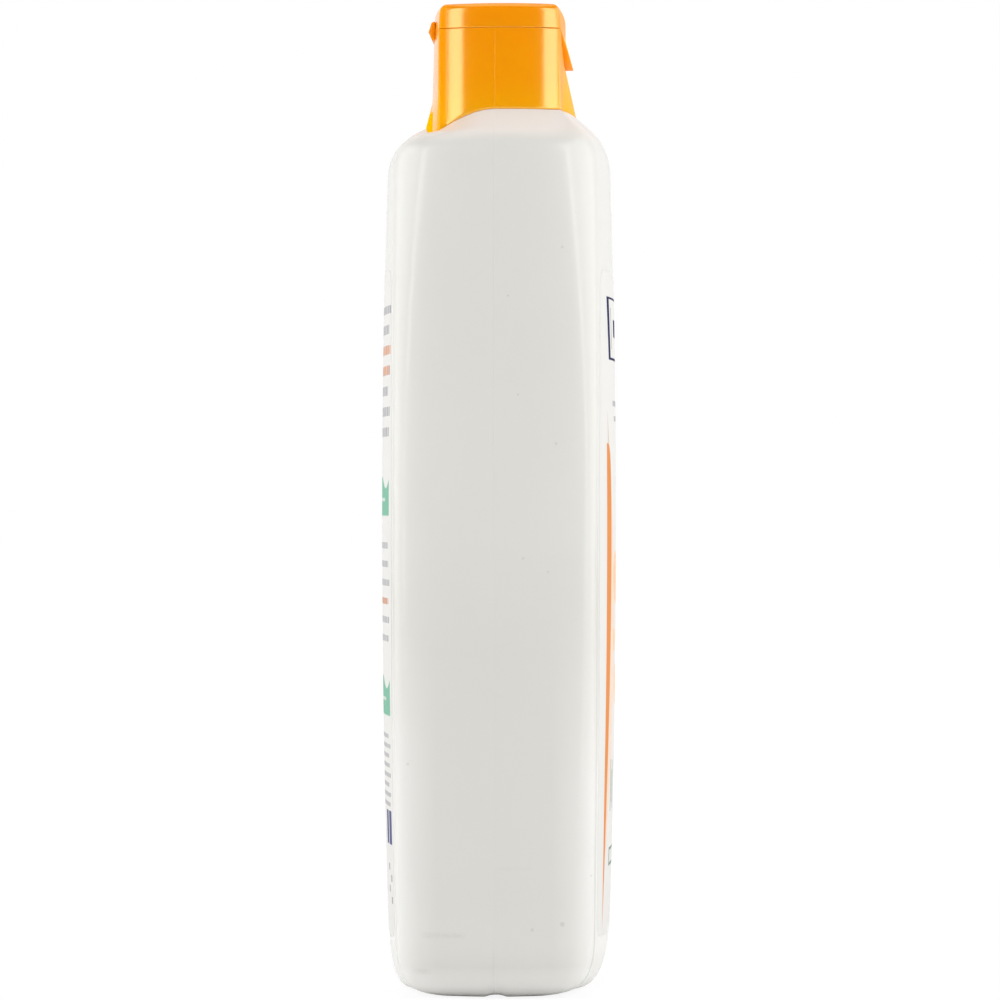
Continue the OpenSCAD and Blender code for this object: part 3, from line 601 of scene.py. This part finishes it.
def make_strap():
    """The strap that joins base and lid, thickest along the hinge line."""
    across = np.linspace(-HINGE_W / 2, HINGE_W / 2, 25)
    s = np.array([-1, -.85, -.7, -.55, -.4, -.28, -.18, -.1, -.04, 0, .04, .1, .18, .28, .4, .55, .7, .85, 1])
    root, tip = CAP_BACK + 0.05, HINGE_Y - 0.1
    outer_y = root + 0.3 + (tip - root - 0.3) * (1 - np.abs(s)) ** 1.25
    outer_y = np.where(np.abs(s) == 1, root - 0.3, outer_y)
    outer_z = HINGE_LINE + s * np.where(s < 0, LEAF_LOW, LEAF_H)
    inner_y = np.full_like(s, root - 0.5)
    inner_z = HINGE_LINE + s * np.where(s < 0, LEAF_LOW - 0.15, LEAF_H - 0.15)
    loop = np.stack([np.concatenate([outer_y, inner_y[::-1]]), np.concatenate([outer_z, inner_z[::-1]])], -1)
    n, points, faces = len(loop), [], []
    middle = np.array([(root + tip) / 2, HINGE_LINE])
    for k, x in enumerate(across):
        ease_in = 0.05 if k in (0, len(across) - 1) else 0.0
        inset = 0.12 if k in (1, len(across) - 2) else 0.0
        x = x if not inset else np.sign(x) * (HINGE_W / 2 - inset)
        points += [(x, *(p + (middle - p) * ease_in)) for p in loop]
    for k in range(len(across) - 1):
        a, b = k * n, (k + 1) * n
        faces += [(a + i, a + (i + 1) % n, b + (i + 1) % n, b + i) for i in range(n)]
    for base, turn in ((0, 1), ((len(across) - 1) * n, -1)):
        for i in range(len(s) - 1):
            quad = (base + i, base + n - 1 - i, base + n - 2 - i, base + i + 1)
            faces.append(quad[::turn])
    return make_object("hinge_strap", points, faces, 40.0)


bottle = make_bottle()
gel = make_gel()
front_film = make_label("front_film", False)
back_film = make_label("back_film", True)
cap_skirt = make_cap_base()
lid_shell = make_lid()
hinge_strap = make_strap()


# Material helpers
def colour(r, g, b):
    """A linear colour from display values of 0 to 255."""
    values = [c / 255 for c in (r, g, b)]
    return [c / 12.92 if c <= 0.04045 else ((c + 0.055) / 1.055) ** 2.4 for c in values] + [1.0]


class Number:
    """A number that varies over a surface."""

    def __init__(self, graph, socket):
        self.graph, self.socket = graph, socket

    def math(self, operation, *others, clamp=False):
        node = self.graph.node("ShaderNodeMath", operation=operation, use_clamp=clamp)
        for slot, value in enumerate((self,) + others):
            self.graph.feed(node.inputs[slot], value)
        return Number(self.graph, node.outputs[0])

    def __add__(self, other):
        return self.math("ADD", other)
    def __sub__(self, other):
        return self.math("SUBTRACT", other)
    def __mul__(self, other):
        return self.math("MULTIPLY", other)
    def __truediv__(self, other):
        return self.math("DIVIDE", other)
    def absolute(self):
        return self.math("ABSOLUTE")
    def power(self, exponent):
        return self.math("POWER", exponent)
    def wave(self):
        return self.math("SINE")
    def most(self, other):
        return self.math("MAXIMUM", other)
    def repeat(self, period):
        return (self / period).math("FRACT") * period
    def below(self, limit, soft):
        return ((self * -1 + limit) / soft + 0.5).math("ADD", 0.0, clamp=True)
    def above(self, limit, soft):
        return ((self - limit) / soft + 0.5).math("ADD", 0.0, clamp=True)
    def inside(self, low, high, soft):
        return self.above(low, soft) * self.below(high, soft)


class Graph:
    """The node tree of one material, with the position on the piece in millimetres."""

    def __init__(self, name):
        self.material = bpy.data.materials.new(name)
        self.material.use_nodes = True
        self.tree = self.material.node_tree
        self.shader = self.tree.nodes["Principled BSDF"]
        self.coords = self.node("ShaderNodeTexCoord").outputs["Object"]
        split = self.node("ShaderNodeSeparateXYZ")
        self.tree.links.new(self.coords, split.inputs[0])
        self.x, self.y, self.z = (Number(self, out) * 1000.0 for out in split.outputs)

    def node(self, kind, **settings):
        node = self.tree.nodes.new(kind)
        for key, value in settings.items():
            setattr(node, key, value)
        return node

    def feed(self, socket, value):
        if isinstance(value, Number):
            self.tree.links.new(value.socket, socket)
        elif isinstance(value, bpy.types.NodeSocket):
            self.tree.links.new(value, socket)
        else:
            socket.default_value = value

    def noise(self, scale, detail=3.0, stretch=(1, 1, 1), offset=(0, 0, 0)):
        """Noise of about -1 to 1, with scale in features per millimetre."""
        mapping = self.node("ShaderNodeMapping")
        self.tree.links.new(self.coords, mapping.inputs["Vector"])
        mapping.inputs["Location"].default_value = offset
        mapping.inputs["Scale"].default_value = [1000 * scale * s for s in stretch]
        node = self.node("ShaderNodeTexNoise")
        self.tree.links.new(mapping.outputs[0], node.inputs["Vector"])
        node.inputs["Scale"].default_value = 1.0
        node.inputs["Detail"].default_value = detail
        node.inputs["Roughness"].default_value = 0.5
        return (Number(self, node.outputs["Fac"]) - 0.5) * 2.0

    def blend(self, base, over, factor):
        node = self.node("ShaderNodeMix", data_type="RGBA")
        self.feed(node.inputs[0], factor)
        self.feed(node.inputs[6], base)
        self.feed(node.inputs[7], over)
        return node.outputs[2]

    def bump(self, height, distance_mm):
        node = self.node("ShaderNodeBump")
        node.inputs["Strength"].default_value = 1.0
        node.inputs["Distance"].default_value = distance_mm * MM
        self.feed(node.inputs["Height"], height)
        self.tree.links.new(node.outputs[0], self.shader.inputs["Normal"])

    def set(self, **values):
        for key, value in values.items():
            self.feed(self.shader.inputs[key.replace("_", " ")], value)

    def spot(self, y, z, radius, soft):
        """A small round spot, seen along X."""
        return ((self.y - y) * (self.y - y) + (self.z - z) * (self.z - z)).power(0.5).below(radius, soft)


WHITE_PLASTIC = colour(217, 216, 211)
FILM_WHITE = colour(216, 215, 212)
# Where a pixel of the photograph lies on the near narrow side, and the specks seen there.
PHOTO_MM, PHOTO_MID, PHOTO_SHIFT, PHOTO_Z = 0.2335, 500, 1.42, 117.5
SPECKS = [(562, 925.5, .55), (532, 930.6, .35), (407, 765, .3), (591, 878, .3), (523, 558.5, .28),
          (548, 572, .25), (556, 443.5, .3), (562, 246.5, .3), (508, 295.6, .25), (518, 394.6, .25)]
SMEARS = ((7.2, 16.7, 15.0, 16.1, .16), (15.2, 18.7, 6.2, 7.4, .18), (-8.8, -0.8, 31, 31.6, .08))


def wear(g, base):
    """Dust specks and faint scuffs of the near narrow side."""
    near = g.x.below(-30, 1.0)
    mask = None
    for u, v, r in SPECKS:
        y, z = -(u - PHOTO_MID) * PHOTO_MM - PHOTO_SHIFT, PHOTO_Z + (PHOTO_MID - v) * PHOTO_MM
        one = g.spot(y, z, r, 0.25)
        mask = one if mask is None else mask.most(one)
    base = g.blend(base, colour(168, 161, 150), mask * near * 0.28)
    for y0, y1, z0, z1, amount in SMEARS:
        broken = (g.noise(1.4, 3, (1, 1, 3)) * 1.2 + 0.6).math("ADD", 0.0, clamp=True)
        smear = g.y.inside(y0, y1, 2.0) * g.z.inside(z0, z1, 0.8) * broken
        base = g.blend(base, colour(176, 170, 160), smear * near * amount * 1.5)
    return base


def bottle_material():
    g = Graph("white_polyethylene")
    cloud = g.noise(0.02, 2)
    base = g.blend(WHITE_PLASTIC, colour(212, 210, 204), (cloud * 0.5 + 0.35).math("ADD", 0.0, clamp=True) * 0.6)
    base = g.blend(base, colour(208, 206, 200), g.z.inside(10, 95, 26) * 0.5)
    # Painted highlight: the lower body is painted lighter towards the corners of the narrow sides, where side light
    # falls.
    base = g.blend(base, colour(233, 232, 229), g.z.below(72, 44) * g.y.absolute().above(18, 9) * 0.6)
    # Painted light: the bottom few millimetres are painted lighter, standing in for light bounced up from the floor
    # against the shade at the contact.
    base = g.blend(base, colour(236, 235, 231), g.z.below(5.5, 5))
    base = g.blend(base, colour(228, 219, 212), g.z.above(203, 3) * 0.7)
    base = wear(g, base)
    grain = g.noise(0.9, 2) * 0.3 + g.noise(0.16, 2, (1, 1, 0.4), offset=(3, 1, 2)) * 0.7
    g.set(Base_Color=base, Roughness=g.noise(0.05, 2) * 0.02 + g.noise(0.6, 2) * 0.012 + 0.25)
    g.shader.inputs["IOR"].default_value = 1.6
    g.shader.inputs["Specular IOR Level"].default_value = 0.5
    g.shader.inputs["Subsurface Weight"].default_value = 0.12
    g.shader.inputs["Subsurface Radius"].default_value = (1.0, 0.9, 0.75)
    g.shader.inputs["Subsurface Scale"].default_value = 0.002
    g.bump(grain, 0.004)
    return g.material


def cap_material():
    g = Graph("orange_polypropylene")
    flow = g.noise(0.06, 3, (1, 1, 0.5), offset=(1, 5, 2))
    base = g.blend(colour(255, 160, 0), colour(254, 150, 0), g.z.inside(DECK_Z - 10, 400, 24))
    base = g.blend(base, colour(255, 170, 0), (flow * 0.4 + 0.12).math("ADD", 0.0, clamp=True) * 0.3)
    base = g.blend(base, colour(255, 176, 0), g.z.below(SEAM_Z + 3, 9) * 0.5)
    front_face = (g.y - g.z * FACE_DRAFT).below(0.3 - CAP_FRONT - FACE_DRAFT * SEAM_Z, 0.3)
    back_face = (g.y + g.z * FACE_DRAFT).above(CAP_BACK + FACE_DRAFT * LID_TOP - 0.5, 0.3)
    back_corners = g.y.above(CAP_BACK - 3.8, 0.6) * g.x.absolute().above(24, 1.0)
    flare_and_tab = g.y.below(-CAP_FRONT - 0.15, 0.25)
    satin = (front_face.most(back_face) * 0.9).most(back_corners).most(flare_and_tab)
    low_back = g.y.above(CAP_BACK - 0.4, 0.3) * g.z.below(SEAM_Z + 0.8, 0.8)
    strap = g.y.above(CAP_BACK + 0.3, 0.1) * g.z.above(DECK_Z - 3, 0.2)
    # Painted light: the front flare, the tab and the hinge strap are painted a lighter, yellower orange, standing in
    # for light through the thin plastic.
    base = g.blend(base, colour(255, 186, 0), flare_and_tab.most(strap) * 0.3)
    g.set(Base_Color=base, Roughness=g.noise(0.12, 2) * 0.02 + 0.125 + satin * 0.3,
          Specular_IOR_Level=(satin * (strap * -1 + 1) * -0.77 + 0.8) * (low_back * -1 + 1))
    g.shader.inputs["IOR"].default_value = 1.75
    g.shader.inputs["Specular Tint"].default_value = (1.0, 1.0, 0.55, 1.0)
    g.shader.inputs["Subsurface Weight"].default_value = 0.3
    g.shader.inputs["Subsurface Radius"].default_value = (1.0, 0.5, 0.05)
    g.shader.inputs["Subsurface Scale"].default_value = 0.003
    g.bump(g.noise(0.1, 2) * 0.8 + g.noise(0.9, 2, (0.25, 1, 1)) * 0.06, 0.006)
    return g.material


def gel_material():
    g = Graph("orange_gel")
    swirl = g.noise(0.04, 3)
    share = (swirl * 0.5 + 0.5).math("ADD", 0.0, clamp=True)
    g.set(Base_Color=g.blend(colour(250, 176, 92), colour(243, 150, 60), share),
          Roughness=g.noise(0.1, 2) * 0.02 + 0.08)
    g.shader.inputs["Transmission Weight"].default_value = 0.35
    g.shader.inputs["IOR"].default_value = 1.37
    g.bump(g.noise(0.08, 2), 0.05)
    return g.material


def film_finish(g, base):
    cloud = g.noise(0.05, 3)
    base = g.blend(base, colour(214, 209, 200), (cloud - 0.2).math("MAXIMUM", 0.0) * 0.12)
    g.set(Base_Color=base, Roughness=g.noise(0.12, 3) * 0.03 + 0.4)
    g.shader.inputs["IOR"].default_value = 1.6
    g.shader.inputs["Specular IOR Level"].default_value = 0.0
    g.bump(g.noise(0.16, 2) * 0.7 + g.noise(0.9, 2) * 0.2, 0.004)
    return g.material


def bar(g, x0, x1, z0, z1, soft=0.16):
    return g.x.inside(x0, x1, soft) * g.z.inside(z0, z1, soft)


def crescent(g, side, x0, swell, low, high, rise, fall):
    """A slim stripe along one side of the film: its outer edge is at x0, and its inner edge swells out."""
    t = ((g.z - low) / (high - low)).math("ADD", 0.0, clamp=True)
    width = t.power(rise) * (t * -1 + 1).power(fall) * swell
    inwards = (g.x * side) * -1 + x0
    return inwards.above(0, 0.2) * (width - inwards).above(0, 0.2) * g.z.inside(low, high, 0.3)


def front_art():
    g = Graph("front_print")
    base = FILM_WHITE
    orange, peach, blue, green = colour(214, 136, 76), colour(232, 196, 166), colour(24, 26, 76), colour(96, 122, 110)
    tuck = ((g.z * -1 + 58) / 44).math("ADD", 0.0, clamp=True).power(2.0) * 2.2
    for side in (-1, 1):
        base = g.blend(base, colour(198, 176, 148), crescent(g, side, 21.0, 11.0, 96, 139, 1.0, 1.0) * 0.8)
        base = g.blend(base, peach, crescent(g, side, 20.0, 44.0, 30, 128, 1.1, 0.9) * 0.5)
        base = g.blend(base, orange, crescent(g, side, tuck * -1 + 22.2, 12.6, 15, 131, 0.95, 0.25) * 0.97)
    lean = g.x - (g.z * -1 + 158.5) * 0.145
    frame = lean.inside(-19.4, 19.4, 0.2) * g.z.inside(150.9, 165.9, 0.2)
    hollow = lean.inside(-16.0, 16.0, 0.2) * g.z.inside(151.5, 165.4, 0.2)
    base = g.blend(base, blue, (frame - hollow).math("MAXIMUM", 0.0) * 0.96)
    base = g.blend(base, blue, lean.inside(-8, 8, 0.2) * g.z.inside(156.6, 160.8, 0.2) * 0.94)
    posts = lean.absolute().inside(12.6, 13.8, 0.2) * g.z.inside(153.6, 163.4, 0.2)
    base = g.blend(base, colour(150, 154, 150), posts * 0.8)
    circles = ((-5, 99, 6.5), (6, 88, 8.5), (-3, 73, 5.0), (8, 107, 3.6), (-8, 84, 2.8), (2, 112, 2.4))
    for k, (x, z, r) in enumerate(circles):
        d = ((g.x - x) * (g.x - x) + (g.z - z) * (g.z - z)).power(0.5)
        base = g.blend(base, peach if k % 2 else colour(245, 188, 142), d.below(r, 0.2) * 0.85)
        base = g.blend(base, FILM_WHITE, d.inside(r * 0.62, r * 0.7, 0.25) * 0.6)
    for x0, x1, z0 in ((-12, 12, 140), (-9, 9, 136.4)):
        base = g.blend(base, colour(150, 152, 158), bar(g, x0, x1, z0, z0 + 1.3) * 0.7)
    for x0, z0, z1 in ((-12.2, 43, 55.5), (-9.8, 45, 53), (-7.4, 43.5, 55)):
        base = g.blend(base, green, bar(g, x0, x0 + 0.9, z0, z1) * 0.85)
    base = g.blend(base, green, bar(g, -12.6, 12.6, 30, 34.4) * 0.8)
    base = g.blend(base, FILM_WHITE, bar(g, -11.4, 11.4, 30.7, 33.7) * 0.9)
    return film_finish(g, base)


def back_art():
    g = Graph("back_print")
    base = FILM_WHITE
    grey, orange, blue, green = colour(112, 112, 124), colour(216, 140, 84), colour(34, 44, 108), colour(104, 172, 144)

    def rows(low, high, pitch, height, ink, amount, cell_w, gap_w, half):
        nonlocal base
        line = (g.z - low).repeat(pitch).below(height, 0.16) * g.z.inside(low, high, 0.2)
        step = ((g.z - low) / pitch).math("FLOOR")
        gap = (g.x + step * 7.3 + 200.0).repeat(cell_w).above(gap_w, 0.2)
        ragged = g.x.absolute().below((step * 2.39).wave() * 1.6 + half, 0.2)
        base = g.blend(base, ink, line * ragged * gap * amount)

    rows(132.5, 163.5, 4.85, 2.2, grey, 0.62, 3.1, 0.9, 28.0)
    rows(147.1, 154, 4.85, 2.2, orange, 0.7, 3.1, 0.9, 28.0)
    rows(84, 110, 4.4, 1.5, grey, 0.6, 2.7, 0.8, 27.8)
    rows(92.8, 100, 8.8, 1.5, orange, 0.7, 2.7, 0.8, 27.8)
    rows(45, 63, 2.3, 1.0, grey, 0.62, 2.1, 0.6, 26.6)
    for z0, z1 in ((113.8, 123), (66.5, 75.6)):
        hill = (g.x * 0.33).wave() * 1.3 + (g.x * 0.13 + 1.0).wave() * 1.6 + z1
        field = g.x.absolute().below(28.6, 0.3) * g.z.above(z0, 0.3) * (g.z - hill).below(0, 0.3)
        base = g.blend(base, green, field * 0.85)
        base = g.blend(base, FILM_WHITE, bar(g, -22, 22, z0 + 3.4, z0 + 4.2) * 0.7)
    for x0 in (-27.6, -22.6):
        base = g.blend(base, blue, bar(g, x0, x0 + 3.9, 36, 44) * 0.85)
    for k in range(5):
        base = g.blend(base, colour(90, 90, 96), bar(g, 8 + 3.4 * k, 10 + 3.4 * k, 34, 44) * 0.6)
    for k in range(4):
        x0, z0 = -26.6 + 3.6 * (k % 2), 22 + 2.6 * k
        base = g.blend(base, grey, bar(g, x0, x0 + 2.0, z0, z0 + 1.6) * 0.6)
    return film_finish(g, base)


def assign(obj, material):
    obj.data.materials.clear()
    obj.data.materials.append(material)


orange_plastic = cap_material()
assign(bottle, bottle_material())
assign(gel, gel_material())
assign(front_film, front_art())
assign(back_film, back_art())
for piece in (cap_skirt, lid_shell, hinge_strap):
    assign(piece, orange_plastic)

# Pieces on the frame
for piece, node, slot, body in (
        (bottle, "bottle", "bottle", "bottle_and_cap"),
        (gel, "gel", "gel", "bottle_and_cap"),
        (front_film, "front_label", "front_label", "bottle_and_cap"),
        (back_film, "back_label", "back_label", "bottle_and_cap"),
        (cap_skirt, "cap_base", "cap", "bottle_and_cap"),
        (lid_shell, "flip_lid", "cap", "lid")):
    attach(piece, body)
    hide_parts(node)
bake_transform(hinge_strap)


# Floor, world and lamps
def stage_material(name, shade, glow):
    """A pale surface that the camera sees as nearly white, and that keeps a shadow."""
    material = bpy.data.materials.new(name)
    material.use_nodes = True
    tree = material.node_tree
    tree.nodes.clear()
    out = tree.nodes.new("ShaderNodeOutputMaterial")
    diffuse = tree.nodes.new("ShaderNodeBsdfDiffuse")
    diffuse.inputs["Color"].default_value = (shade, shade, shade, 1)
    emit = tree.nodes.new("ShaderNodeEmission")
    emit.inputs["Strength"].default_value = 1.03
    path = tree.nodes.new("ShaderNodeLightPath")
    side = tree.nodes.new("ShaderNodeNewGeometry")
    away = tree.nodes.new("ShaderNodeVectorMath")
    away.operation = "LENGTH"
    tree.links.new(side.outputs["Position"], away.inputs[0])
    fade = tree.nodes.new("ShaderNodeMapRange")
    fade.interpolation_type = "SMOOTHSTEP"
    for key, value in (("From Min", 0.03), ("From Max", 0.35), ("To Min", glow), ("To Max", 1.0)):
        fade.inputs[key].default_value = value
    tree.links.new(away.outputs["Value"], fade.inputs["Value"])
    share = tree.nodes.new("ShaderNodeMath")
    share.operation = "MULTIPLY"
    tree.links.new(path.outputs["Is Camera Ray"], share.inputs[0])
    tree.links.new(fade.outputs[0], share.inputs[1])
    lit = tree.nodes.new("ShaderNodeMixShader")
    tree.links.new(share.outputs[0], lit.inputs[0])
    tree.links.new(diffuse.outputs[0], lit.inputs[1])
    tree.links.new(emit.outputs[0], lit.inputs[2])
    clear = tree.nodes.new("ShaderNodeBsdfTransparent")
    final = tree.nodes.new("ShaderNodeMixShader")
    tree.links.new(side.outputs["Backfacing"], final.inputs[0])
    tree.links.new(lit.outputs[0], final.inputs[1])
    tree.links.new(clear.outputs[0], final.inputs[2])
    tree.links.new(final.outputs[0], out.inputs[0])
    return material


floor = bpy.data.objects.new("floor", bpy.data.meshes.new("floor"))
floor.data.from_pydata([(-6, -6, 0), (6, -6, 0), (6, 6, 0), (-6, 6, 0)], [], [(0, 1, 2, 3)])
scene.collection.objects.link(floor)
assign(floor, stage_material("pale_floor", 0.88, 0.86))


def make_world():
    """White to the camera, and otherwise a soft studio: bright behind the bottle, dimmer in front."""
    world = bpy.data.worlds.new("studio")
    scene.world = world
    world.use_nodes = True
    tree = world.node_tree
    tree.nodes.clear()

    def node(kind, **settings):
        made = tree.nodes.new(kind)
        for key, value in settings.items():
            setattr(made, key, value)
        return made

    split = node("ShaderNodeSeparateXYZ")
    tree.links.new(node("ShaderNodeTexCoord").outputs["Generated"], split.inputs[0])

    def across(low_x, high_x, low, high):
        made = node("ShaderNodeMapRange", interpolation_type="SMOOTHSTEP")
        tree.links.new(split.outputs["X"], made.inputs["Value"])
        for key, value in (("From Min", low_x), ("From Max", high_x), ("To Min", low), ("To Max", high)):
            made.inputs[key].default_value = value
        return made.outputs[0]

    dimmer = node("ShaderNodeMath", operation="MULTIPLY")
    tree.links.new(across(-0.80, -0.25, 0.11, 0.50), dimmer.inputs[0])
    tree.links.new(across(-0.10, 0.80, 1.0, 1.5), dimmer.inputs[1])
    soft = dimmer.outputs[0]
    seen = across(0.20, 0.75, 0.04, 0.9)
    path = node("ShaderNodeLightPath")
    mirror = node("ShaderNodeMix")
    tree.links.new(path.outputs["Is Glossy Ray"], mirror.inputs[0])
    tree.links.new(soft, mirror.inputs[2])
    tree.links.new(seen, mirror.inputs[3])
    final = node("ShaderNodeMix")
    white = node("ShaderNodeMath", operation="MAXIMUM")
    tree.links.new(path.outputs["Is Camera Ray"], white.inputs[0])
    tree.links.new(path.outputs["Is Transmission Ray"], white.inputs[1])
    tree.links.new(white.outputs[0], final.inputs[0])
    tree.links.new(mirror.outputs[0], final.inputs[2])
    final.inputs[3].default_value = 1.0
    back = node("ShaderNodeBackground")
    back.inputs["Color"].default_value = (1, 1, 1, 1)
    tree.links.new(final.outputs[0], back.inputs["Strength"])
    tree.links.new(back.outputs[0], node("ShaderNodeOutputWorld").inputs[0])


make_world()


def softbox(name, angle, distance, width, height, centre_z, radiance):
    """An upright soft lamp, at an angle from the near side of the bottle, aimed at its axis."""
    data = bpy.data.lights.new(name, "AREA")
    data.shape, data.size, data.size_y = "RECTANGLE", width, height
    data.energy = radiance * pi * width * height
    lamp = bpy.data.objects.new(name, data)
    scene.collection.objects.link(lamp)
    a = radians(angle)
    lamp.location = (-cos(a) * distance, sin(a) * distance, centre_z)
    aim = Vector((0, 0, centre_z)) - lamp.location
    lamp.rotation_mode = "QUATERNION"
    lamp.rotation_quaternion = aim.to_track_quat("-Z", "Y")
    lamp.visible_camera = False


for name, angle, distance, width, height, centre_z, radiance in (
        ("strip_front", -39.8, 1.1, 0.25, 0.95, 0.47, 3.8), ("strip_back", 37.5, 1.1, 0.225, 0.95, 0.47, 3.9),
        ("side_front", -83.0, 1.3, 1.8, 1.3, 0.66, 1.72), ("side_back", 83.0, 1.3, 1.8, 1.3, 0.66, 1.72),
        ("wing_front", -88.0, 1.2, 0.95, 1.3, 0.66, 0.2), ("wing_back", 88.0, 1.2, 0.95, 1.3, 0.66, 0.2)):
    softbox(name, angle, distance, width, height, centre_z, radiance)
TOP_SIZE, TOP_RADIANCE = 0.9, 1.1
top = bpy.data.lights.new("top_lamp", "AREA")
top.shape, top.size, top.size_y = "RECTANGLE", TOP_SIZE, TOP_SIZE
top.energy = TOP_RADIANCE * pi * TOP_SIZE ** 2
top_lamp = bpy.data.objects.new("top_lamp", top)
top_lamp.location = (-0.1, 0, 1.3)
top_lamp.visible_camera = False
scene.collection.objects.link(top_lamp)

scene.view_settings.view_transform = "Standard"
